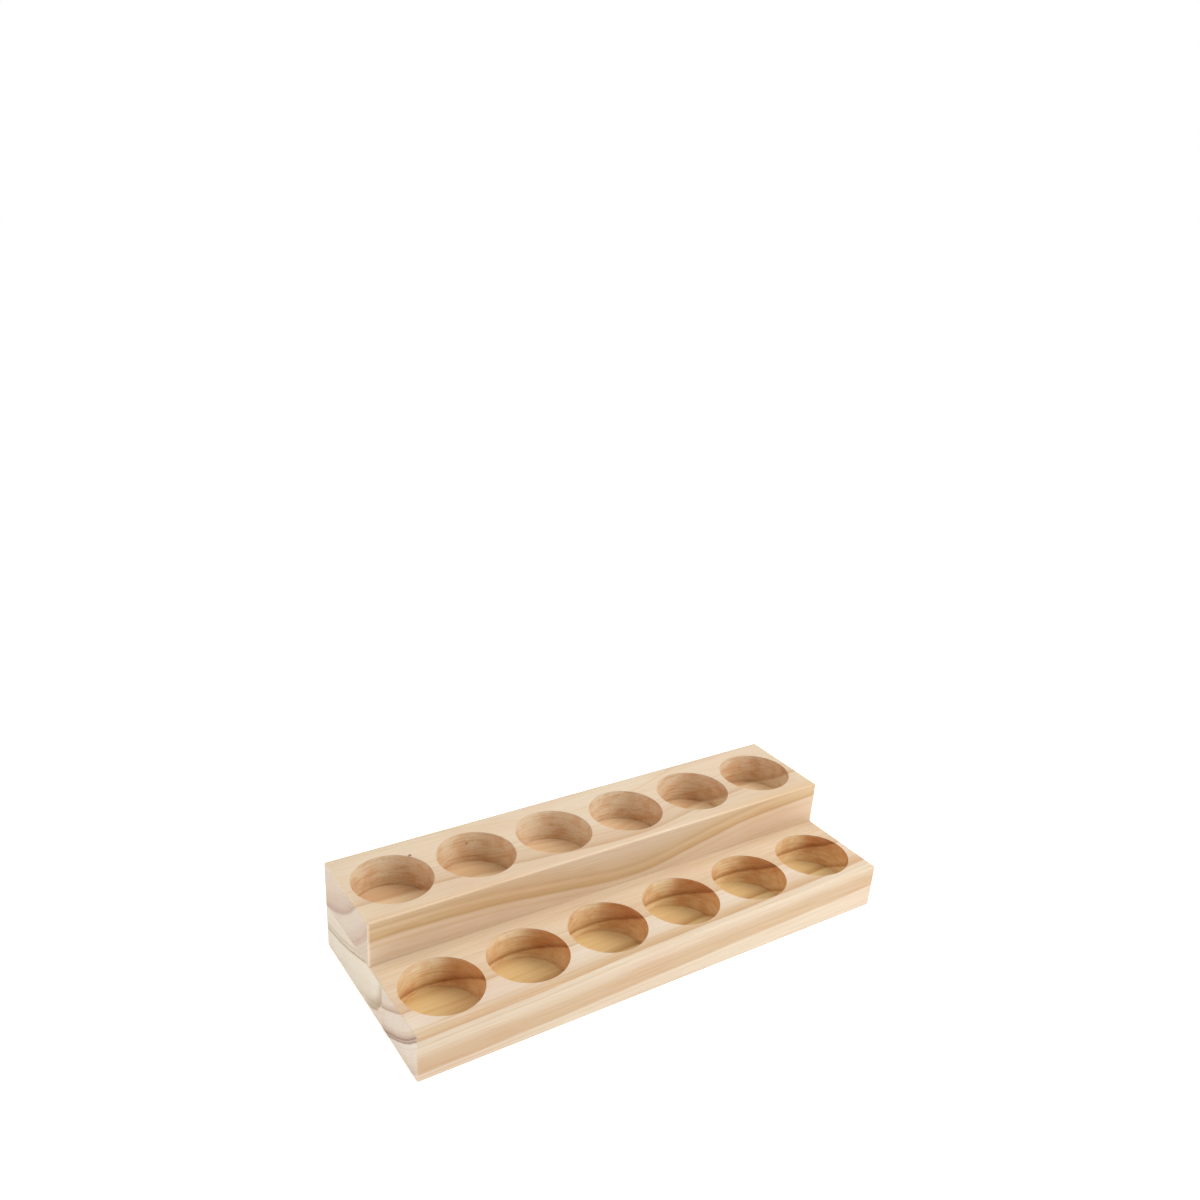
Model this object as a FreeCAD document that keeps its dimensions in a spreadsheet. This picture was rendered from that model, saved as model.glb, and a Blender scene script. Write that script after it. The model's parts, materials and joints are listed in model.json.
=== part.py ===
import FreeCAD, Part
import math
import os
import Sketcher

# Two-tier wooden egg tray, glued up from three pine staves and bored with two
# rows of blind round pockets. Millimetres. +Z is up, the origin is the middle
# of the underside, X runs along the tray and the low front tier faces -Y.

DRIVING_DIMENSIONS = {
    "tray_length": 306.0,
    "tray_depth": 121.0,
    "tread_depth": 59.0,        # front face to the riser of the upper tier
    "lower_height": 28.5,
    "total_height": 56.0,
    "stave_joint": 43.0,        # front face to the glue joint in the lower tier
    "pocket_diameter": 45.0,
    "pocket_depth": 20.0,
    "depth_creep": 0.02,        # each pocket is this much deeper than the one to its left
    "pocket_pitch": 50.5,
    "pocket_count": 6,
    "lower_row": 28.5,          # front face to the centres of the lower row
    "upper_row": 89.5,          # front face to the centres of the upper row
    "arris_radius": 1.0,        # sanded outer edges
    "rim_break": 0.3,           # light sanding round each pocket's mouth
    "dowel_diameter": 8.0,
    "dowel_length": 30.0,
    "dowel_chamfer": 0.8,
    "flute_diameter": 0.8,
    "flute_count": 12,
    "glue_gap": 0.1,            # radial room for glue round a dowel
    "dowel_hole_depth": 16.0,
    "dowel_spacing_x": 202.0,
    "dowel_front": 67.5,        # front face to the front pair of dowels
    "dowel_spacing_y": 44.0,
}

TOLERANCE = 0.01                # for telling edges apart by their place

doc = FreeCAD.newDocument("EggTray")
sheet = doc.addObject("Spreadsheet::Sheet", "Dimensions")
for row, (alias, value) in enumerate(DRIVING_DIMENSIONS.items(), start=1):
    sheet.set(f"A{row}", alias)
    sheet.set(f"B{row}", str(value))
    sheet.setAlias(f"B{row}", alias)
doc.recompute()


def cell(alias):
    """Expression that reads one driving dimension."""
    return f"Dimensions.{alias}"


def new_body(label, x="0", y="0", z="0"):
    """Body with its own label and a Placement bound to the sheet."""
    body = doc.addObject("PartDesign::Body", label)
    body.Label = label
    body.setExpression("Placement.Base.x", f"({x}) * 1mm")
    body.setExpression("Placement.Base.y", f"({y}) * 1mm")
    body.setExpression("Placement.Base.z", f"({z}) * 1mm")
    return body


def new_sketch(body, name, height="0"):
    """Sketch flat in the body's XY plane, raised to the given height."""
    plane = next(f for f in body.Origin.OriginFeatures if f.Role == "XY_Plane")
    sketch = body.newObject("Sketcher::SketchObject", name)
    sketch.AttachmentSupport = [(plane, "")]
    sketch.MapMode = "FlatFace"
    sketch.setExpression("AttachmentOffset.Base.z", f"({height}) * 1mm")
    return sketch


def bind(sketch, constraint, expression):
    """Add a constraint and bind its value to the sheet."""
    index = sketch.addConstraint(constraint)
    sketch.setExpression(f"Constraints[{index}]", f"({expression}) * 1mm")


def draw_rectangle(sketch, half_width, depth):
    """Rectangle from y = 0 to depth, centred on x = 0."""
    corners = [(-1, 0), (1, 0), (1, 1), (-1, 1)]
    points = [FreeCAD.Vector(x, y, 0) for x, y in corners]
    for start, end in zip(points, points[1:] + points[:1]):
        sketch.addGeometry(Part.LineSegment(start, end), False)
    for line in range(4):
        sketch.addConstraint(Sketcher.Constraint("Coincident", line, 2, (line + 1) % 4, 1))
        direction = "Horizontal" if line % 2 == 0 else "Vertical"
        sketch.addConstraint(Sketcher.Constraint(direction, line))
    sketch.addConstraint(Sketcher.Constraint("PointOnObject", 0, 1, -1))
    bind(sketch, Sketcher.Constraint("DistanceX", 0, 1, -1, 1, 1.0), half_width)
    bind(sketch, Sketcher.Constraint("DistanceX", -1, 1, 0, 2, 1.0), half_width)
    bind(sketch, Sketcher.Constraint("DistanceY", 0, 2, 1, 2, 1.0), depth)


def draw_circle(sketch, x, y, diameter):
    """Circle whose centre and diameter follow the sheet; x and y may be negative."""
    index = sketch.addGeometry(Part.Circle(FreeCAD.Vector(0, 0, 0), FreeCAD.Vector(0, 0, 1), 1.0), False)
    bind(sketch, Sketcher.Constraint("Diameter", index, 1.0), diameter)
    bind(sketch, Sketcher.Constraint("DistanceX", -1, 1, index, 3, 1.0), x)
    bind(sketch, Sketcher.Constraint("DistanceY", -1, 1, index, 3, 1.0), y)


def cut(body, name, sketch, depth, along_normal=False):
    """Blind pocket that runs against the normal of its sketch, or along it, checked to remove material."""
    before = body.Shape.Volume
    pocket = body.newObject("PartDesign::Pocket", name)
    pocket.Profile = sketch
    pocket.Type = 0
    pocket.Reversed = along_normal
    pocket.setExpression("Length", f"({depth}) * 1mm")
    doc.recompute()
    if not body.Shape.Volume < before:
        raise RuntimeError(f"{name} cuts nothing")
    return pocket


def repeat_along_x(body, pocket, sketch, length, count):
    """Copies of a pocket, evenly spaced along the sketch's horizontal axis."""
    pattern = body.newObject("PartDesign::LinearPattern", pocket.Name + "Row")
    pattern.Originals = [pocket]
    pattern.Direction = (sketch, ["H_Axis"])
    pattern.setExpression("Length", f"({length}) * 1mm")
    pattern.setExpression("Occurrences", count)
    pocket.Visibility = False
    body.Tip = pattern
    doc.recompute()
    return pattern


def break_rims(body, height):
    """Small chamfer round the mouths of the pockets, which lie at the given local height."""
    base = body.Tip
    rim_radius = sheet.pocket_diameter / 2
    names = []
    for number, edge in enumerate(base.Shape.Edges, start=1):
        if edge.Curve.TypeId != "Part::GeomCircle" or abs(edge.Curve.Radius - rim_radius) > TOLERANCE:
            continue
        if abs(edge.Curve.Center.z - height) < TOLERANCE:
            names.append(f"Edge{number}")
    chamfer = body.newObject("PartDesign::Chamfer", body.Name + "Rims")
    chamfer.Base = (base, names)
    chamfer.setExpression("Size", f"{cell('rim_break')} * 1mm")
    body.Tip = chamfer
    doc.recompute()


def sand_outer_edges(body, front=False, back=False, top=False, bottom=False):
    """Round the straight edges of the stave that lie on the tray's outside.

    The two ends are always outside. The other faces are outside only where they
    are named, and an edge is rounded when both of its faces are outside.
    """
    base = body.Tip
    box = base.Shape.BoundBox
    names = []
    for number, edge in enumerate(base.Shape.Edges, start=1):
        if edge.Curve.TypeId != "Part::GeomLine":
            continue
        e = edge.BoundBox
        at_an_end = min(e.XMin - box.XMin, box.XMax - e.XMax) < TOLERANCE
        faces = [
            at_an_end and e.XLength < TOLERANCE,
            front and e.YMax - box.YMin < TOLERANCE,
            back and box.YMax - e.YMin < TOLERANCE,
            bottom and e.ZMax - box.ZMin < TOLERANCE,
            top and box.ZMax - e.ZMin < TOLERANCE,
        ]
        if sum(faces) == 2:
            names.append(f"Edge{number}")
    rounding = body.newObject("PartDesign::Fillet", body.Name + "Arris")
    rounding.Base = (base, names)
    rounding.setExpression("Radius", f"{cell('arris_radius')} * 1mm")
    body.Tip = rounding
    doc.recompute()


def sand_tread_ends(body, top, length):
    """Round the two end edges of the top face, from the body's front as far as the riser."""
    plane = next(f for f in body.Origin.OriginFeatures if f.Role == "XZ_Plane")
    sketch = body.newObject("Sketcher::SketchObject", body.Name + "TreadEndProfile")
    sketch.AttachmentSupport = [(plane, "")]
    sketch.MapMode = "FlatFace"
    half = sheet.tray_length / 2
    radius = sheet.arris_radius
    height = sheet.lower_height
    for side in (-1, 1):
        corner = FreeCAD.Vector(side * half, height, 0)
        inner = FreeCAD.Vector(side * (half - radius), height, 0)
        lower = FreeCAD.Vector(side * half, height - radius, 0)
        centre = FreeCAD.Vector(side * (half - radius), height - radius, 0)
        flat = sketch.addGeometry(Part.LineSegment(inner, corner), False)
        upright = sketch.addGeometry(Part.LineSegment(corner, lower), False)
        circle = Part.Circle(centre, FreeCAD.Vector(0, 0, 1), radius)
        start_angle = 0 if side > 0 else math.pi / 2
        arc = sketch.addGeometry(Part.ArcOfCircle(circle, start_angle, start_angle + math.pi / 2), False)
        arc_at_flat, arc_at_upright = (2, 1) if side > 0 else (1, 2)
        sketch.addConstraint(Sketcher.Constraint("Coincident", flat, 2, upright, 1))
        sketch.addConstraint(Sketcher.Constraint("Horizontal", flat))
        sketch.addConstraint(Sketcher.Constraint("Vertical", upright))
        sketch.addConstraint(Sketcher.Constraint("Tangent", arc, arc_at_flat, flat, 1))
        sketch.addConstraint(Sketcher.Constraint("Tangent", arc, arc_at_upright, upright, 2))
        bind(sketch, Sketcher.Constraint("Radius", arc, radius), cell("arris_radius"))
        bind(sketch, Sketcher.Constraint("DistanceX", -1, 1, flat, 2, side * half),
             f"{side} * {cell('tray_length')} / 2")
        bind(sketch, Sketcher.Constraint("DistanceY", -1, 1, flat, 2, height), top)
    doc.recompute()
    cut(body, body.Name + "TreadEnds", sketch, length)


def make_blank(body, depth, height):
    """Plain rectangular stave, the whole length of the tray."""
    sketch = new_sketch(body, body.Name + "Outline")
    draw_rectangle(sketch, f"{cell('tray_length')} / 2", depth)
    doc.recompute()
    pad = body.newObject("PartDesign::Pad", body.Name + "Blank")
    pad.Profile = sketch
    pad.setExpression("Length", f"({height}) * 1mm")
    doc.recompute()


def bore_pockets(body, row_from_front, stave_front, top):
    """Row of blind egg pockets, bored down from the top of the stave, left to right."""
    for place in range(int(sheet.pocket_count)):
        sketch = new_sketch(body, f"{body.Name}PocketCircle{place + 1}", top)
        along = f"{cell('pocket_pitch')} * ({place} - ({cell('pocket_count')} - 1) / 2)"
        draw_circle(sketch, along, f"{row_from_front} - {stave_front}", cell("pocket_diameter"))
        doc.recompute()
        depth = f"{cell('pocket_depth')} + {place} * {cell('depth_creep')}"
        cut(body, f"{body.Name}Pocket{place + 1}", sketch, depth)


def drill_dowel_holes(body, stave_front, from_top):
    """Four blind dowel holes, in the cusps between the egg pockets."""
    height = from_top if from_top else "0"
    for side in ("front", "rear"):
        y = f"{cell('dowel_front')} - {stave_front}"
        if side == "rear":
            y = f"{y} + {cell('dowel_spacing_y')}"
        sketch = new_sketch(body, f"{body.Name}Dowel{side.title()}", height)
        draw_circle(sketch, f"-{cell('dowel_spacing_x')} / 2", y,
                    f"{cell('dowel_diameter')} + 2 * {cell('glue_gap')}")
        doc.recompute()
        hole = cut(body, f"{body.Name}DowelHole{side.title()}", sketch,
                   cell("dowel_hole_depth"), along_normal=not from_top)
        repeat_along_x(body, hole, sketch, cell("dowel_spacing_x"), "2")


def make_front_stave():
    """Front part of the lower tier, which holds most of the lower pockets."""
    body = new_body("lower_front_stave", y=f"-{cell('tray_depth')} / 2")
    make_blank(body, cell("stave_joint"), cell("lower_height"))
    bore_pockets(body, cell("lower_row"), "0", cell("lower_height"))
    break_rims(body, sheet.lower_height)
    sand_outer_edges(body, front=True, top=True, bottom=True)
    return body


def make_rear_stave():
    """Rear part of the lower tier: the back of the lower pockets, and the seat of the upper tier."""
    body = new_body("lower_rear_stave", y=f"{cell('stave_joint')} - {cell('tray_depth')} / 2")
    make_blank(body, f"{cell('tray_depth')} - {cell('stave_joint')}", cell("lower_height"))
    bore_pockets(body, cell("lower_row"), cell("stave_joint"), cell("lower_height"))
    break_rims(body, sheet.lower_height)
    drill_dowel_holes(body, cell("stave_joint"), cell("lower_height"))
    sand_outer_edges(body, back=True, bottom=True)
    sand_tread_ends(body, cell("lower_height"), f"{cell('tread_depth')} - {cell('stave_joint')}")
    return body


def make_upper_block():
    """Upper tier, set back by the tread and glued on top of the rear stave."""
    body = new_body("upper_tier_block", y=f"{cell('tread_depth')} - {cell('tray_depth')} / 2",
                    z=cell("lower_height"))
    height = f"{cell('total_height')} - {cell('lower_height')}"
    make_blank(body, f"{cell('tray_depth')} - {cell('tread_depth')}", height)
    bore_pockets(body, cell("upper_row"), cell("tread_depth"), height)
    break_rims(body, sheet.total_height - sheet.lower_height)
    drill_dowel_holes(body, cell("tread_depth"), None)
    sand_outer_edges(body, front=True, back=True, top=True)
    return body


def make_dowel(number, x_side, rear):
    """Fluted hardwood dowel with chamfered ends, half in each tier."""
    y = f"{cell('dowel_front')} - {cell('tray_depth')} / 2"
    if rear:
        y = f"{y} + {cell('dowel_spacing_y')}"
    body = new_body(f"tier_dowel_{number}", x=f"{x_side} * {cell('dowel_spacing_x')} / 2", y=y,
                    z=f"{cell('lower_height')} - {cell('dowel_length')} / 2")
    outline = new_sketch(body, body.Name + "Outline")
    draw_circle(outline, "0", "0", cell("dowel_diameter"))
    doc.recompute()
    pad = body.newObject("PartDesign::Pad", body.Name + "Rod")
    pad.Profile = outline
    pad.setExpression("Length", f"{cell('dowel_length')} * 1mm")
    doc.recompute()
    ends = [f"Edge{n}" for n, e in enumerate(pad.Shape.Edges, start=1) if e.Closed]
    chamfer = body.newObject("PartDesign::Chamfer", body.Name + "Lead")
    chamfer.Base = (pad, ends)
    chamfer.setExpression("Size", f"{cell('dowel_chamfer')} * 1mm")
    body.Tip = chamfer
    doc.recompute()
    groove = new_sketch(body, body.Name + "FluteCircle")
    draw_circle(groove, f"{cell('dowel_diameter')} / 2", "0", cell("flute_diameter"))
    doc.recompute()
    flute = cut(body, body.Name + "Flute", groove, cell("dowel_length"), along_normal=True)
    pattern = body.newObject("PartDesign::PolarPattern", body.Name + "Flutes")
    pattern.Originals = [flute]
    pattern.Axis = (groove, ["N_Axis"])
    pattern.Angle = 360
    pattern.setExpression("Occurrences", cell("flute_count"))
    body.Tip = pattern
    doc.recompute()
    return body


parts = [make_front_stave(), make_rear_stave(), make_upper_block()]
dowel_places = [(-1, False), (1, False), (-1, True), (1, True)]
for number, (x_side, rear) in enumerate(dowel_places, start=1):
    parts.append(make_dowel(number, x_side, rear))
doc.recompute()

for item in doc.Objects:
    if "Invalid" in item.State or "Error" in item.State:
        raise RuntimeError(f"{item.Name} did not compute: {item.State}")
for part in parts:
    if part.Shape.isNull() or not part.Shape.isValid() or len(part.Shape.Solids) != 1:
        raise RuntimeError(f"{part.Label} has no single valid solid")

os.makedirs("parts", exist_ok=True)
for part in parts:
    part.Shape.exportStep(f"parts/{part.Label}.step")
    box = part.Shape.BoundBox
    print(f"{part.Label}: volume {part.Shape.Volume:.0f}, "
          f"x {box.XMin:.2f} to {box.XMax:.2f}, y {box.YMin:.2f} to {box.YMax:.2f}, "
          f"z {box.ZMin:.2f} to {box.ZMax:.2f}")
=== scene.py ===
import json
import math

import bmesh
import bpy
from mathutils import Matrix, Vector


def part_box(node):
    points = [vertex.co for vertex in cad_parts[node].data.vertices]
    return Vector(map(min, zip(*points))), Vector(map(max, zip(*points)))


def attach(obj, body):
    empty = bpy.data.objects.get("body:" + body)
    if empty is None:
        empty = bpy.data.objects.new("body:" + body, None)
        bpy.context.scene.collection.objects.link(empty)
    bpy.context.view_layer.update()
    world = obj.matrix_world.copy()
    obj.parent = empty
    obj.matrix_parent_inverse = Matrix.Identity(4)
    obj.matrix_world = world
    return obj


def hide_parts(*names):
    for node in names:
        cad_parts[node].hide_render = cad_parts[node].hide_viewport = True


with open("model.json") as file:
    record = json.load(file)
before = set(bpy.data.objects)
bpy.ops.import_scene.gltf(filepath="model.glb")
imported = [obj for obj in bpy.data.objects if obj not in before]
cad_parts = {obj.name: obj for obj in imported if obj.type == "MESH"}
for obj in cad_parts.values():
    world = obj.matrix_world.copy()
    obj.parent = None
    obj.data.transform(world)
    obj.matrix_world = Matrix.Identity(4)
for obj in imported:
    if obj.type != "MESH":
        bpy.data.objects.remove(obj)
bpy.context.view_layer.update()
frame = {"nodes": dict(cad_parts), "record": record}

# Two-tier pine egg tray. Three staves stand for the CAD staves as finely eased
# meshes, and the dowels inside the joint stay as they are. Lengths are metres
# in the meshes and millimetres in the wood shader.

MM = 0.001
ARRIS = 1.0 * MM            # radius of the sanded outer edges
ARRIS_STEPS = 6
RIM_BREAK = 0.3 * MM        # light sanding round the mouth of a pocket
GLUE_LINE = 0.12 * MM       # hairline chamfer where two staves meet
BORE_SIDES = 192
TOUCH = 0.02 * MM           # for telling vertices apart by their place
WELD = 0.002 * MM           # vertices nearer than this become one
SHARP = 0.5                 # radians between the faces of an edge that is to be broken
SMOOTH_BELOW = 35           # degrees, for the edges that shade smoothly
LEVEL_ARRIS = 0.3           # how much wear and painted highlight the level arrises get, next to the upright ones


# ---------------------------------------------------------------- pockets

class Pocket:
    """One round blind pocket, read from the record's mounts."""

    def __init__(self, mount):
        x, y, middle = mount["pos_m"]
        half = mount["dims"]["length_mm"] * MM / 2
        self.name = mount["name"]
        self.centre = Vector((x, y, 0))
        self.radius = mount["dims"]["r_mm"] * MM
        self.floor = middle - half
        self.mouth = middle + half + RIM_BREAK

    def distance(self, point):
        return math.hypot(point.x - self.centre.x, point.y - self.centre.y)


pockets = [Pocket(m) for m in frame["record"]["mounts"] if m["kind"] == "bore"]
upper_pockets = [p for p in pockets if "upper" in p.name]
lower_pockets = [p for p in pockets if "lower" in p.name]
lower_mouth = lower_pockets[0].mouth / MM
upper_mouth = upper_pockets[0].mouth / MM
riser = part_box("upper_tier_block")[0].y


# ---------------------------------------------------------------- meshes

def box_mesh(low, high):
    """Plain box as a bmesh, to be eased and bored."""
    bm = bmesh.new()
    bmesh.ops.create_cube(bm, size=1.0)
    size, middle = high - low, (high + low) / 2
    for v in bm.verts:
        v.co = Vector(c * s + m for c, s, m in zip(v.co, size, middle))
    return bm


def lies_on(edge, plane):
    """Whether an edge lies on a plane, given as (axis, value)."""
    axis, value = plane
    return all(abs(v.co[axis] - value) < TOUCH for v in edge.verts)


def ease_arrises(bm, outside):
    """Round every straight edge that lies on two outside planes."""
    edges = [e for e in bm.edges if sum(lies_on(e, plane) for plane in outside) == 2]
    bmesh.ops.bevel(bm, geom=edges, offset=ARRIS, offset_type="OFFSET", segments=ARRIS_STEPS,
                    profile=0.5, affect="EDGES")


def pocket_cutter(bm, pocket):
    """Upright cylinder from a pocket's floor to above its mouth."""
    spare = 4 * MM
    top = pocket.mouth + spare
    place = Matrix.Translation((pocket.centre.x, pocket.centre.y, (top + pocket.floor) / 2))
    bmesh.ops.create_cone(bm, cap_ends=True, segments=BORE_SIDES, radius1=pocket.radius,
                          radius2=pocket.radius, depth=top - pocket.floor, matrix=place)


def arris_cutter(bm, end, inward, top, first, last):
    """Prism along Y that rounds the upper edge of one end face, between two places."""
    spare = 2 * MM
    middle = Vector((end + inward * ARRIS, top - ARRIS))
    section = [(end - inward * spare, top + spare), (end - inward * spare, top - ARRIS)]
    for step in range(ARRIS_STEPS + 1):
        turn = math.pi / 2 * step / ARRIS_STEPS
        section.append((middle.x - inward * ARRIS * math.cos(turn),
                        middle.y + ARRIS * math.sin(turn)))
    section.append((middle.x, top + spare))
    rings = [[bm.verts.new((x, y, z)) for x, z in section] for y in (first, last)]
    bm.faces.new(rings[0])
    bm.faces.new(reversed(rings[1]))
    for index in range(len(section)):
        after = (index + 1) % len(section)
        bm.faces.new((rings[0][after], rings[0][index], rings[1][index], rings[1][after]))
    bmesh.ops.recalc_face_normals(bm, faces=bm.faces[:])


def to_object(bm, name):
    mesh = bpy.data.meshes.new(name)
    bm.to_mesh(mesh)
    bm.free()
    obj = bpy.data.objects.new(name, mesh)
    bpy.context.scene.collection.objects.link(obj)
    return obj


def apply_modifiers(obj):
    """Replace the object's mesh by its evaluated one."""
    graph = bpy.context.evaluated_depsgraph_get()
    mesh = bpy.data.meshes.new_from_object(obj.evaluated_get(graph))
    obj.modifiers.clear()
    obj.data = mesh


def cut(obj, bm):
    """Take a mesh away from a stave."""
    cutter = to_object(bm, obj.name + "_cutter")
    modifier = obj.modifiers.new("cut", "BOOLEAN")
    modifier.operation = "DIFFERENCE"
    modifier.solver = "EXACT"
    modifier.object = cutter
    apply_modifiers(obj)
    bpy.data.objects.remove(cutter)


def break_edges(bm, bores, joints):
    """Small chamfers: a sanded rim round each mouth, and a hairline along each glue joint."""
    def on_rim(vertex):
        return any(abs(vertex.co.z - b.mouth) < TOUCH
                   and abs(b.distance(vertex.co) - b.radius) < TOUCH for b in bores)

    def inside_pocket(edge):
        middle = (edge.verts[0].co + edge.verts[1].co) / 2
        return any(b.distance(middle) < b.radius + TOUCH for b in bores)

    def is_sharp(edge):
        return edge.calc_face_angle(0) > SHARP

    rims = [e for e in bm.edges if is_sharp(e) and all(on_rim(v) for v in e.verts)]
    bmesh.ops.bevel(bm, geom=rims, offset=RIM_BREAK, offset_type="OFFSET", segments=2,
                    profile=0.6, affect="EDGES", clamp_overlap=True)
    for joint in joints:
        seam = [e for e in bm.edges
                if is_sharp(e) and lies_on(e, joint) and not inside_pocket(e)]
        bmesh.ops.bevel(bm, geom=seam, offset=GLUE_LINE, offset_type="OFFSET", segments=1,
                        affect="EDGES", clamp_overlap=True)


def mark_surfaces(bm, bores, joints):
    """Face attributes that the wood shader reads: bored walls, bored floors and sanded arrises."""
    def at_joint(point):
        return any(abs(point[axis] - value) < GLUE_LINE for axis, value in joints)

    wall = bm.faces.layers.float.new("bored_wall")
    floor = bm.faces.layers.float.new("bored_floor")
    arris = bm.faces.layers.float.new("arris")
    for face in bm.faces:
        middle = face.calc_center_median()
        level = abs(face.normal.z)                          # 1 for a level face
        skewed = max(abs(c) for c in face.normal) < 0.995   # square to no axis
        pocket = next((b for b in bores if b.distance(middle) < b.radius + TOUCH
                       and b.floor - TOUCH < middle.z < b.mouth), None)
        if pocket and level < 0.5:
            face[wall] = 1.0
        elif pocket:
            face[floor] = 1.0
        elif skewed and not at_joint(middle):
            # upright arrises carry the full painted highlight and wear, level ones LEVEL_ARRIS of
            # it
            face[arris] = 1.0 if level < 0.1 else LEVEL_ARRIS
        face.smooth = face[wall] + face[arris] > 0


def stave(name, node, outside, bores, joints, material, tread_end=None):
    """A pine stave built from its CAD box, with pockets, eased arrises and glue-line hairlines.

    outside names the faces whose shared edges are rounded, and joints the glued ones. tread_end is
    how far back the upper edges of the ends are rounded, where another stave covers the rest.
    """
    low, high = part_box(node)
    faces = {"-x": (0, low.x), "+x": (0, high.x), "-y": (1, low.y), "+y": (1, high.y),
             "-z": (2, low.z), "+z": (2, high.z)}
    planes = [faces[f] for f in outside]
    bm = box_mesh(low, high)
    ease_arrises(bm, planes)
    obj = to_object(bm, name)
    cutters = bmesh.new()
    for pocket in bores:
        pocket_cutter(cutters, pocket)
    if tread_end is not None:
        for end, inward in ((low.x, 1), (high.x, -1)):
            arris_cutter(cutters, end, inward, high.z, low.y - ARRIS, tread_end)
    cut(obj, cutters)
    bm = bmesh.new()
    bm.from_mesh(obj.data)
    seams = [faces[j] for j in joints]
    break_edges(bm, bores, seams)
    bmesh.ops.remove_doubles(bm, verts=bm.verts[:], dist=WELD)
    mark_surfaces(bm, bores, seams)
    bm.to_mesh(obj.data)
    bm.free()
    obj.data.set_sharp_from_angle(angle=math.radians(SMOOTH_BELOW))
    obj.data.materials.clear()
    obj.data.materials.append(material)
    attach(obj, "root")
    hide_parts(node)


# ---------------------------------------------------------------- shader helpers

def rgb(red, green, blue):
    """Linear colour from the usual 0 to 255 values."""
    def linear(c):
        c /= 255
        return c / 12.92 if c <= 0.04045 else ((c + 0.055) / 1.055) ** 2.4
    return (linear(red), linear(green), linear(blue), 1.0)


class Graph:
    """Adds nodes to one material, so that a formula reads as nested calls."""

    def __init__(self, name):
        self.material = bpy.data.materials.new(name)
        self.material.use_nodes = True
        self.tree = self.material.node_tree
        self.tree.nodes.clear()

    def add(self, kind, inputs=(), **settings):
        node = self.tree.nodes.new(kind)
        for key, value in settings.items():
            setattr(node, key, value)
        for key, value in dict(inputs).items():
            self.set(node.inputs[key], value)
        return node

    def set(self, socket, value):
        if isinstance(value, bpy.types.NodeSocket):
            self.tree.links.new(value, socket)
        else:
            socket.default_value = value

    def math(self, operation, a, b=0.0, c=0.0):
        return self.add("ShaderNodeMath", {0: a, 1: b, 2: c}, operation=operation).outputs[0]

    def vector(self, operation, a, b=(0, 0, 0)):
        return self.add("ShaderNodeVectorMath", {0: a, 1: b}, operation=operation).outputs[0]

    def vector_length(self, vector):
        return self.add("ShaderNodeVectorMath", {0: vector}, operation="LENGTH").outputs["Value"]

    def combine(self, x, y, z):
        return self.add("ShaderNodeCombineXYZ", {0: x, 1: y, 2: z}).outputs[0]

    def separate(self, vector):
        return self.add("ShaderNodeSeparateXYZ", {0: vector}).outputs

    def place(self):
        """Place in the stave or dowel, in millimetres."""
        place = self.vector("SCALE", self.add("ShaderNodeTexCoord").outputs["Object"])
        place.node.inputs["Scale"].default_value = 1 / MM
        return place

    def noise(self, place, stretch, seed=0.0, detail=2.0, roughness=0.5):
        """Noise from 0 to 1 whose features are about stretch millimetres long on each axis."""
        scaled = self.vector("DIVIDE", place, stretch)
        moved = self.vector("ADD", scaled, (seed, seed * 1.7, seed * 0.6))
        return self.add("ShaderNodeTexNoise", {"Vector": moved, "Scale": 1.0, "Detail": detail,
                        "Roughness": roughness}).outputs["Fac"]

    def between(self, value, low, high, out_low=0.0, out_high=1.0):
        """Smooth step of a value from one range to another."""
        return self.add("ShaderNodeMapRange", {0: value, 1: low, 2: high, 3: out_low, 4: out_high},
                        interpolation_type="SMOOTHSTEP").outputs[0]

    def ramp(self, value, stops):
        """Colour for a value, from a list of (value, colour) in rising order."""
        low, high = stops[0][0], stops[-1][0]
        place = self.add("ShaderNodeMapRange", {0: value, 1: low, 2: high}).outputs[0]
        node = self.add("ShaderNodeValToRGB", {0: place})
        ramp = node.color_ramp
        ramp.interpolation = "LINEAR"
        for index, (at, colour) in enumerate(stops):
            position = (at - low) / (high - low)
            element = ramp.elements[index] if index < 2 else ramp.elements.new(position)
            element.position = position
            element.color = colour
        return node.outputs[0]

    def mix(self, factor, a, b, blend="MIX"):
        """Mix two colours. The colour sockets come after those for numbers and vectors."""
        return self.add("ShaderNodeMix", {0: factor, 6: a, 7: b}, data_type="RGBA",
                        blend_type=blend).outputs[2]

    def darken(self, colour, factor, tint):
        """Multiply a colour by a tint, as far as the factor says."""
        return self.mix(factor, colour, tint, "MULTIPLY")

    def attribute(self, name):
        return self.add("ShaderNodeAttribute", attribute_name=name).outputs["Fac"]

    def bump(self, height, strength, depth):
        return self.add("ShaderNodeBump", {"Strength": strength, "Distance": depth,
                        "Height": height}).outputs[0]

    def surface(self, inputs):
        """Finish the material with a Principled shader."""
        shader = self.add("ShaderNodeBsdfPrincipled", inputs)
        self.add("ShaderNodeOutputMaterial", {"Surface": shader.outputs[0]})
        return self.material


# ---------------------------------------------------------------- wood

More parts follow.
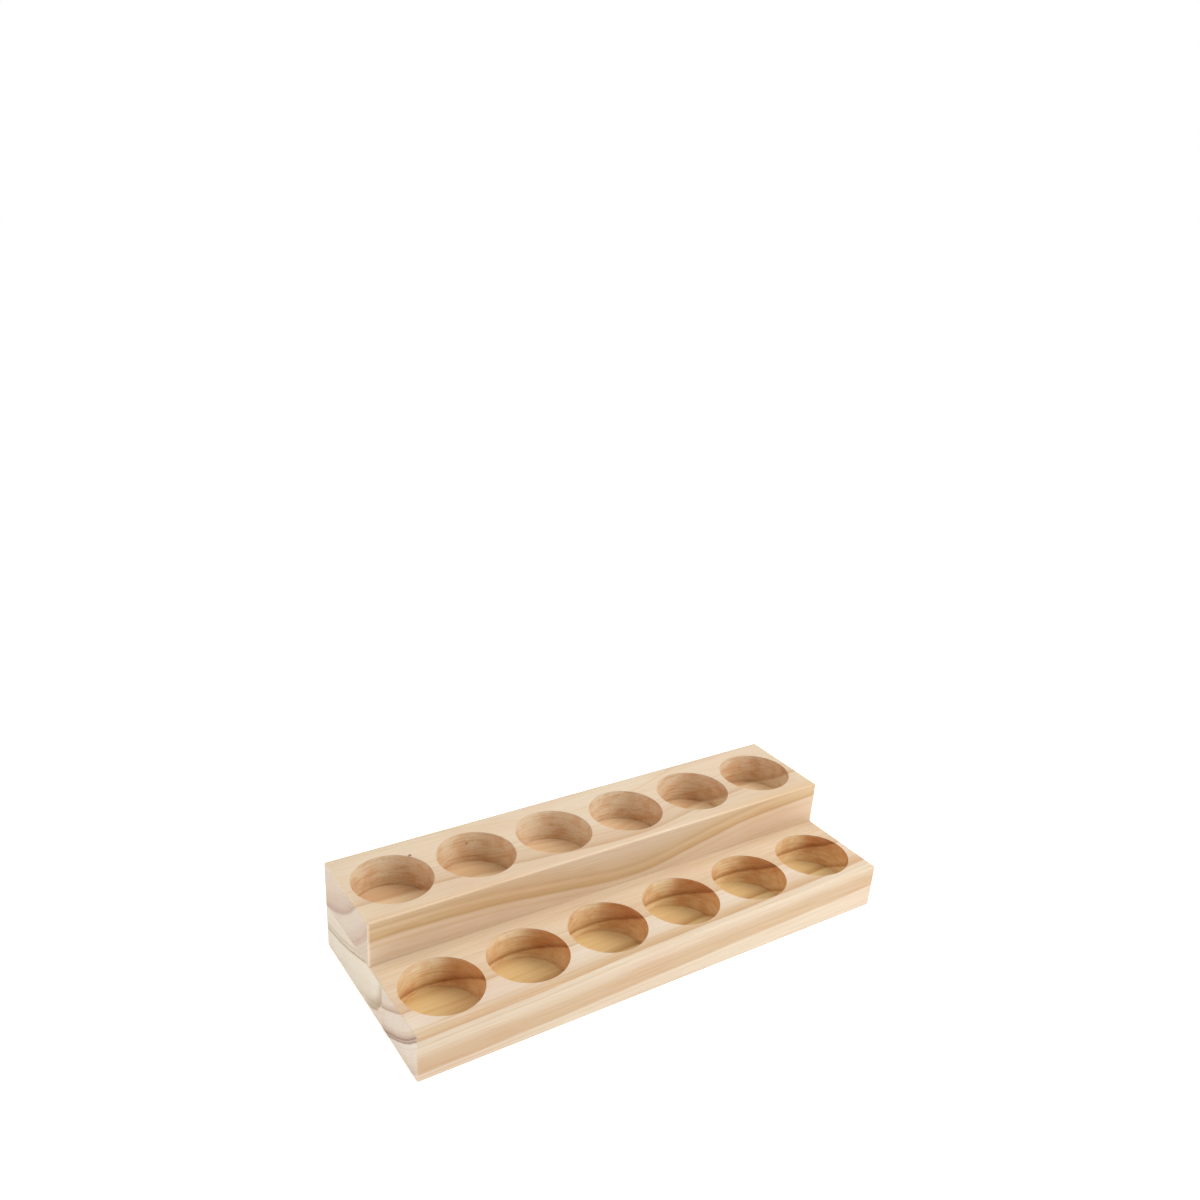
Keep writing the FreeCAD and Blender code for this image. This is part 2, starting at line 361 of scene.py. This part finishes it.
def growth_rings(g, place, ripple, seed, pith, lean, bulge):
    """Distance from the leaning pith, less the swelling of the trunk, with a little wander."""
    x, y, z = g.separate(place)
    dy = g.math("SUBTRACT", y, g.math("MULTIPLY_ADD", x, lean[0], pith[0]))
    dz = g.math("SUBTRACT", z, g.math("MULTIPLY_ADD", x, lean[1], pith[1]))
    squares = g.math("ADD", g.math("MULTIPLY", dy, dy), g.math("MULTIPLY", dz, dz))
    height, middle, left, right = bulge
    width = g.math("MULTIPLY_ADD", g.math("LESS_THAN", x, middle), left - right, right)
    reach = g.math("DIVIDE", g.math("SUBTRACT", x, middle), width)
    hump = g.math("EXPONENT", g.math("MULTIPLY", g.math("MULTIPLY", reach, reach), -0.5))
    sway = g.math("SUBTRACT", g.noise(place, (120, 60, 60), seed), 0.5)
    ring = g.math("MULTIPLY_ADD", hump, -height, g.math("SQRT", squares))
    ring = g.math("MULTIPLY_ADD", sway, 2.4, ring)
    return g.math("MULTIPLY_ADD", ripple, 1.1, ring)


def curled_ring(g, place, ripple, curl):
    """How dark a tight ring is, with a soft inner side and fading towards the rear."""
    middle_y, middle_z, radius = curl
    darkest, soft, crisp = 0.72, 8.0, 0.9
    fade_from, fade_to = middle_y - 14, middle_y + 2
    y, z = g.separate(place)[1:]
    reach = g.vector("SUBTRACT", g.combine(0.0, y, z), (0.0, middle_y, middle_z))
    reach = g.math("MULTIPLY_ADD", ripple, 3.0, g.vector_length(reach))
    inner = g.between(reach, radius - soft, radius)
    outer = g.between(reach, radius, radius + crisp, 1.0, 0.0)
    band = g.math("MULTIPLY", inner, outer)
    return g.math("MULTIPLY", band, g.between(y, fade_from, fade_to, darkest, 0.0))


def torn_grain_and_shade(g, place, facing, mouth, torn_and_shade):
    """How far a bored wall darkens across the fibres, plus painted shade on the pocket's +X side,
    deepest at the mouth.
    """
    minus_x_side, plus_x_floor, plus_x_mouth = torn_and_shade
    low, high = mouth - 19, mouth - 1
    cut_end = g.between(g.math("ABSOLUTE", facing), 0.15, 0.75)
    tear_and_shade = g.between(g.separate(place)[2], low, high,
                      plus_x_floor - minus_x_side, plus_x_mouth - minus_x_side)
    amount = g.math("MULTIPLY_ADD", g.between(facing, 0.0, -0.5), tear_and_shade, minus_x_side)
    return g.math("MULTIPLY", cut_end, amount)


def pine(name, seed, pith, lean, face, end, bored, floor, mouth, torn_and_shade, burnish_and_highlight,
         bulge=(0.0, 0.0, 1.0, 1.0), curl=None, marks=()):
    """Solid pine: growth rings round a pith that runs roughly along X, outside the stave.

    pith is (y, z) at the middle of the tray and lean its drift per millimetre of X. face, end and
    bored list (radius, colour) from the pith outwards, for planed long grain, for sawn end grain
    and for the walls of the pockets, whose floors are tinted by floor and whose mouths are at the
    height mouth. The bored colours are a paler fresh cut, raised further as painted light that
    brightens the pockets. torn says how far a pocket wall darkens where it cuts end grain: on the
    pocket's side towards -X as tear-out, and on its side towards +X, at the floor and at the mouth,
    as tear-out with painted shade that deepens towards the mouth. burnish says how far the rounded
    edges lighten, as sanding wear and as a painted highlight. bulge is (height, x, width towards
    -X, width towards +X) of a swelling in the trunk, which dips the grain in the faces that it
    crosses.
    curl is (y, z, radius) of a tight ring in the sawn ends, and each of the marks is ((x, y, z),
    radius, strength) of a small knot or chip. All in millimetres.
    """
    g = Graph(name)
    place = g.place()
    ripple = g.math("SUBTRACT", g.noise(place, (30, 9, 9), seed + 5), 0.5)
    ring = growth_rings(g, place, ripple, seed, pith, lean, bulge)

    # which kind of cut shows here
    facing = g.separate(g.add("ShaderNodeNewGeometry").outputs["Normal"])[0]
    wall = g.attribute("bored_wall")
    inside = g.math("MAXIMUM", wall, g.attribute("bored_floor"))
    sawn_end = g.between(g.math("ABSOLUTE", facing), 0.7, 0.98)
    sawn_end = g.math("MULTIPLY", sawn_end, g.math("SUBTRACT", 1.0, inside))
    colour = g.mix(sawn_end, g.ramp(ring, face), g.ramp(ring, end))
    # bored colours: a paler fresh cut, raised further as painted light that brightens the pockets
    colour = g.mix(inside, colour, g.ramp(ring, bored))

    # yearly lines between the broad bands, then fibres and fine pale streaks along the grain
    along = g.math("MULTIPLY", g.separate(place)[0], 0.002)
    lines = g.noise(g.combine(along, ring, seed), (1, 1.3, 1), seed + 11, 3.0, 0.6)
    colour = g.darken(colour, g.between(lines, 0.48, 0.74, 0.0, 0.4), rgb(236, 214, 184))
    fibre = g.noise(place, (30, 0.5, 0.5), seed + 17, 3.0, 0.6)
    grain = g.math("MULTIPLY_ADD", wall, 0.35, 0.4)
    grain = g.math("MULTIPLY", g.between(fibre, 0.45, 0.75), grain)
    colour = g.darken(colour, grain, rgb(234, 212, 182))
    pale = g.noise(place, (46, 0.9, 0.9), seed + 23)
    colour = g.mix(g.between(pale, 0.56, 0.82, 0.0, 0.22), colour, rgb(246, 228, 204))

    # broad pinker patches, short resin ducts, and pores in the end grain
    patch = g.noise(place, (70, 26, 26), seed + 31)
    colour = g.darken(colour, g.between(patch, 0.42, 0.7, 0.0, 0.5), rgb(252, 240, 236))
    duct = g.noise(place, (6, 0.32, 0.32), seed + 41, 1.0)
    colour = g.darken(colour, g.between(duct, 0.73, 0.81, 0.0, 0.3), rgb(190, 150, 112))
    pores = g.noise(place, (6, 0.5, 0.5), seed + 47, 3.0, 0.7)
    pores = g.math("MULTIPLY", g.between(pores, 0.4, 0.7, 0.0, 0.5), sawn_end)
    colour = g.darken(colour, pores, rgb(228, 216, 206))

    # the pocket walls are streaked round by the cutter and vary in tone
    streaks = g.noise(place, (26, 14, 0.8), seed + 61, 3.0, 0.6)
    streaks = g.math("MULTIPLY", g.between(streaks, 0.45, 0.7, 0.0, 0.5), wall)
    colour = g.darken(colour, streaks, rgb(224, 198, 168))
    mottle = g.noise(place, (11, 8, 7), seed + 67)
    mottle = g.math("MULTIPLY", g.between(mottle, 0.42, 0.66, 0.0, 0.8), wall)
    colour = g.darken(colour, mottle, rgb(243, 224, 208))

    # what shows in single places: a curled ring, cut end grain with painted shade in the pockets,
    # floors, arrises with wear and a painted highlight, knots and chips
    if curl:
        band = g.math("MULTIPLY", curled_ring(g, place, ripple, curl), sawn_end)
        colour = g.darken(colour, band, rgb(190, 170, 146))
    # painted shade: pocket walls on the +X side darken towards the mouth, over darker cut end grain
    tear_and_shade = g.math("MULTIPLY", torn_grain_and_shade(g, place, facing, mouth, torn_and_shade), wall)
    colour = g.darken(colour, tear_and_shade, rgb(212, 160, 112))
    colour = g.darken(colour, g.attribute("bored_floor"), floor)
    # painted highlight on the arrises and the rims of the pockets, with some sanding wear
    colour = g.mix(g.math("MULTIPLY", g.attribute("arris"), burnish_and_highlight), colour, rgb(248, 232, 210))
    for spot, radius, strength in marks:
        reach = g.vector_length(g.vector("SUBTRACT", place, spot))
        dark = g.between(reach, radius, radius * 0.4, 0.0, strength)
        colour = g.darken(colour, dark, rgb(150, 112, 84))

    # fibres and yearly lines stand proud, and the cutter's chatter marks run up the walls
    chatter = g.math("MULTIPLY", g.noise(place, (0.8, 0.8, 16.0), seed + 53), wall)
    relief = g.math("MULTIPLY_ADD", fibre, 0.6, g.math("MULTIPLY", lines, 0.4))
    relief = g.math("MULTIPLY_ADD", chatter, 0.8, relief)
    return g.surface({
        "Base Color": colour, "Roughness": g.between(lines, 0.3, 0.75, 0.64, 0.52),
        "Specular IOR Level": 0.3, "Normal": g.bump(relief, strength=0.35, depth=0.12 * MM)})


def beech(name):
    """Dowels: even reddish beech with short dark flecks along Z."""
    g = Graph(name)
    place = g.place()
    fleck = g.noise(place, (0.5, 0.5, 3.0), 3.0, 3.0)
    streak = g.noise(place, (1.2, 1.2, 30.0), 8.0)
    colour = g.mix(g.between(streak, 0.3, 0.7), rgb(206, 168, 128), rgb(188, 146, 106))
    colour = g.mix(g.between(fleck, 0.58, 0.7, 0.0, 0.6), colour, rgb(150, 104, 70))
    return g.surface({
        "Base Color": colour, "Roughness": g.between(fleck, 0.3, 0.7, 0.55, 0.7),
        "Normal": g.bump(streak, strength=0.3, depth=0.1 * MM)})


front_pine = pine(
    "pine_front_stave", seed=2.0, pith=(33.5, 117.0), lean=(0.039, 0.0),
    floor=rgb(223, 206, 180), mouth=lower_mouth, torn_and_shade=(0.2, 0.5, 0.8), burnish_and_highlight=0.08,
    face=[
        (96, rgb(200, 180, 154)), (104, rgb(199, 178, 151)), (110, rgb(194, 170, 141)),
        (112, rgb(186, 157, 124)), (112.5, rgb(204, 188, 167)), (117, rgb(206, 191, 173)),
        (121.5, rgb(203, 186, 164)), (123.2, rgb(196, 172, 142)), (126.6, rgb(188, 158, 123)),
        (127.2, rgb(202, 186, 163)), (131, rgb(207, 191, 169)), (133.5, rgb(203, 184, 160)),
        (136, rgb(195, 170, 140)), (142.4, rgb(192, 164, 132)), (143.4, rgb(209, 193, 171)),
        (150, rgb(210, 195, 174)),
    ],
    end=[
        (96, rgb(203, 191, 176)), (108, rgb(197, 182, 166)), (111.6, rgb(165, 143, 123)),
        (112.3, rgb(204, 193, 180)), (121, rgb(199, 186, 171)), (124.0, rgb(173, 150, 131)),
        (124.9, rgb(126, 99, 83)), (125.6, rgb(180, 161, 145)), (126.4, rgb(131, 104, 88)),
        (127.2, rgb(205, 195, 182)), (135, rgb(204, 191, 177)), (142, rgb(187, 172, 155)),
        (143.4, rgb(207, 196, 184)),
    ],
    # bored: paler fresh cut, raised as painted light in the pockets
    bored=[
        (96, rgb(245, 234, 205)), (104, rgb(230, 207, 165)), (109, rgb(216, 185, 140)),
        (111.6, rgb(178, 137, 90)), (112.8, rgb(229, 206, 163)), (118, rgb(237, 222, 181)),
        (124, rgb(234, 217, 176)), (126.5, rgb(206, 178, 134)), (127.2, rgb(242, 234, 197)),
        (140, rgb(238, 226, 189)),
    ])
rear_pine = pine(
    "pine_rear_stave", seed=2.0, pith=(93.9, 221.0), lean=(0.042, 0.0),
    floor=rgb(223, 206, 180), mouth=lower_mouth, torn_and_shade=(0.2, 0.5, 0.8), burnish_and_highlight=0.08,
    curl=(8.2, 29.0, 28.0),
    face=[
        (190, rgb(205, 185, 160)), (200, rgb(202, 181, 153)), (207, rgb(199, 176, 147)),
        (209.6, rgb(187, 160, 129)), (210.2, rgb(173, 143, 113)), (210.8, rgb(199, 179, 152)),
        (219, rgb(199, 177, 149)), (224, rgb(202, 181, 154)), (230, rgb(197, 171, 140)),
        (232, rgb(188, 158, 123)), (232.5, rgb(207, 189, 166)), (237, rgb(208, 193, 173)),
        (252, rgb(205, 183, 155)),
    ],
    end=[
        (190, rgb(204, 195, 179)), (205.5, rgb(200, 191, 174)), (207.2, rgb(178, 165, 142)),
        (207.9, rgb(197, 187, 168)), (209.0, rgb(188, 176, 155)), (210.0, rgb(149, 131, 109)),
        (210.9, rgb(207, 200, 184)), (220, rgb(206, 198, 182)), (226, rgb(203, 194, 178)),
        (230.5, rgb(197, 188, 170)), (232, rgb(191, 181, 163)), (232.7, rgb(206, 197, 183)),
        (245, rgb(202, 192, 176)),
    ],
    # bored: paler fresh cut, raised as painted light in the pockets
    bored=[
        (216, rgb(245, 234, 205)), (224, rgb(230, 207, 165)), (229, rgb(216, 185, 140)),
        (231.6, rgb(178, 137, 90)), (232.8, rgb(229, 206, 163)), (238, rgb(237, 222, 181)),
    ])
upper_pine = pine(
    "pine_upper_block", seed=13.0, pith=(82.5, 117.0), lean=(0.0, 0.0115),
    floor=rgb(249, 241, 231), mouth=upper_mouth, torn_and_shade=(0.0, 0.0, 0.34), burnish_and_highlight=0.28,
    bulge=(9.6, 13.0, 52.0, 43.0),
    marks=[((-109.0, 44.9, 56.0), 1.3, 0.9), ((-70.8, 51.0, 48.7), 1.2, 0.5)],
    face=[
        (50, rgb(204, 188, 165)), (60, rgb(202, 185, 161)), (66, rgb(201, 182, 157)),
        (68, rgb(202, 184, 160)), (78, rgb(201, 182, 157)), (86, rgb(197, 175, 148)),
        (89.4, rgb(189, 162, 132)), (90.1, rgb(180, 151, 118)), (91, rgb(201, 180, 154)),
        (97, rgb(201, 180, 154)), (102.6, rgb(198, 173, 141)), (104.7, rgb(195, 167, 131)),
        (105.8, rgb(202, 175, 139)), (108, rgb(200, 171, 132)), (109.6, rgb(187, 153, 110)),
        (110.4, rgb(211, 187, 158)), (117, rgb(213, 189, 163)), (122, rgb(208, 185, 156)),
        (127, rgb(210, 189, 161)),
    ],
    end=[
        (50, rgb(198, 184, 167)), (78, rgb(194, 180, 163)), (86, rgb(184, 165, 149)),
        (90, rgb(166, 143, 127)), (91.8, rgb(195, 182, 166)), (99, rgb(193, 179, 163)),
        (103, rgb(187, 169, 154)), (106, rgb(180, 156, 142)), (109, rgb(192, 178, 163)),
        (116, rgb(192, 178, 160)), (122, rgb(182, 170, 146)), (127, rgb(194, 182, 165)),
    ],
    # bored: paler fresh cut, raised as painted light in the pockets
    bored=[
        (50, rgb(229, 217, 193)), (68, rgb(225, 209, 181)), (78, rgb(219, 197, 167)),
        (86, rgb(208, 183, 148)), (90, rgb(194, 164, 128)), (91.5, rgb(221, 203, 171)),
        (100, rgb(217, 196, 160)), (106, rgb(206, 181, 140)),
    ])

stave("lower_front_stave_wood", "lower_front_stave",
      ["-x", "+x", "-y", "+z", "-z"], lower_pockets, ["+y"], front_pine)
stave("lower_rear_stave_wood", "lower_rear_stave",
      ["-x", "+x", "+y", "-z"], lower_pockets, ["-y"], rear_pine, tread_end=riser)
stave("upper_tier_block_wood", "upper_tier_block",
      ["-x", "+x", "-y", "+y", "+z"], upper_pockets, ["-z"], upper_pine)

dowel_wood = beech("beech_dowel")
for node, obj in frame["nodes"].items():
    if node.startswith("tier_dowel"):
        obj.data.materials.clear()
        obj.data.materials.append(dowel_wood)


# ---------------------------------------------------------------- stage, light and camera

WHITE = (1.0, 1.0, 1.0, 1.0)
SENSOR_WIDTH = 36.0         # millimetres, as focal_length is
LIGHT_DISTANCE = 1.6


def light_table(radius=5.0):
    """Pale floor that glows a little, as a product table lit from below does."""
    bm = bmesh.new()
    bmesh.ops.create_circle(bm, cap_ends=True, segments=96, radius=radius)
    floor = to_object(bm, "floor")
    g = Graph("pale_floor")
    place = g.add("ShaderNodeTexCoord").outputs["Object"]
    grain = g.add("ShaderNodeTexNoise", {"Vector": place, "Scale": 900.0, "Detail": 2.0})
    colour = g.mix(grain.outputs["Fac"], rgb(244, 244, 243), rgb(249, 249, 248))
    glow = g.between(g.vector_length(place), 0.4, 1.6, 0.35, 1.0)
    floor.data.materials.append(g.surface({
        "Base Color": colour, "Roughness": 0.8, "Specular IOR Level": 0.1,
        "Emission Color": WHITE, "Emission Strength": glow}))


def white_room(strength):
    """Even soft light from all round, in front of a white backdrop."""
    world = bpy.data.worlds.new("white_room")
    world.use_nodes = True
    tree = world.node_tree
    tree.nodes.clear()
    light = tree.nodes.new("ShaderNodeBackground")
    backdrop = tree.nodes.new("ShaderNodeBackground")
    light.inputs["Strength"].default_value = strength
    light.inputs["Color"].default_value = backdrop.inputs["Color"].default_value = WHITE
    path = tree.nodes.new("ShaderNodeLightPath")
    mix = tree.nodes.new("ShaderNodeMixShader")
    output = tree.nodes.new("ShaderNodeOutputWorld")
    tree.links.new(path.outputs["Is Camera Ray"], mix.inputs[0])
    tree.links.new(light.outputs[0], mix.inputs[1])
    tree.links.new(backdrop.outputs[0], mix.inputs[2])
    tree.links.new(mix.outputs[0], output.inputs[0])
    bpy.context.scene.world = world


def direction(azimuth, elevation):
    """Unit vector, in radians from +Y towards +X and upwards from the horizon."""
    level = math.cos(elevation)
    return Vector((math.sin(azimuth) * level, math.cos(azimuth) * level, math.sin(elevation)))


def soft_box(name, azimuth, elevation, size, level):
    """Square soft box that faces the tray, at an azimuth from +Y towards +X, in degrees.

    level is the light that it gives a surface that faces it, next to a white world of strength 1.
    """
    towards = direction(math.radians(azimuth), math.radians(elevation))
    data = bpy.data.lights.new(name, "AREA")
    data.shape = "SQUARE"
    data.size = size
    data.energy = level * math.pi ** 2 * LIGHT_DISTANCE ** 2
    light = bpy.data.objects.new(name, data)
    light.location = towards * LIGHT_DISTANCE
    light.rotation_euler = (-towards).to_track_quat("-Z", "Y").to_euler()
    light.visible_camera = False
    bpy.context.scene.collection.objects.link(light)


def camera(place, azimuth, dip, roll, focal_length, rise):
    """Camera that looks along an azimuth from +Y towards +X, dipped below the horizon.

    The angles are in degrees. rise moves the picture down, as a share of the frame's width.
    """
    azimuth, dip, roll = (math.radians(a) for a in (azimuth, dip, roll))
    forward = direction(azimuth, -dip)
    level = forward.cross(Vector((0, 0, 1))).normalized()
    upright = level.cross(forward)
    right = level * math.cos(roll) + upright * math.sin(roll)
    up = upright * math.cos(roll) - level * math.sin(roll)
    data = bpy.data.cameras.new("camera")
    data.sensor_width = SENSOR_WIDTH
    data.lens = focal_length
    data.shift_y = rise
    data.clip_start, data.clip_end = 0.01, 50.0
    obj = bpy.data.objects.new("camera", data)
    turn = Matrix((right, up, -forward)).transposed().to_4x4()
    obj.matrix_world = Matrix.Translation(place) @ turn
    bpy.context.scene.collection.objects.link(obj)
    bpy.context.scene.camera = obj


light_table()
white_room(0.46)
soft_box("right_front", azimuth=130, elevation=43, size=1.0, level=0.74)
soft_box("left", azimuth=-80, elevation=20, size=0.9, level=0.35)
soft_box("overhead", azimuth=0, elevation=86, size=1.2, level=0.42)
camera(place=(-0.32267, -0.44426, 0.41643), azimuth=34.347, dip=25.584, roll=3.741,
       focal_length=33.908, rise=0.075)
bpy.context.scene.view_settings.view_transform = "Standard"
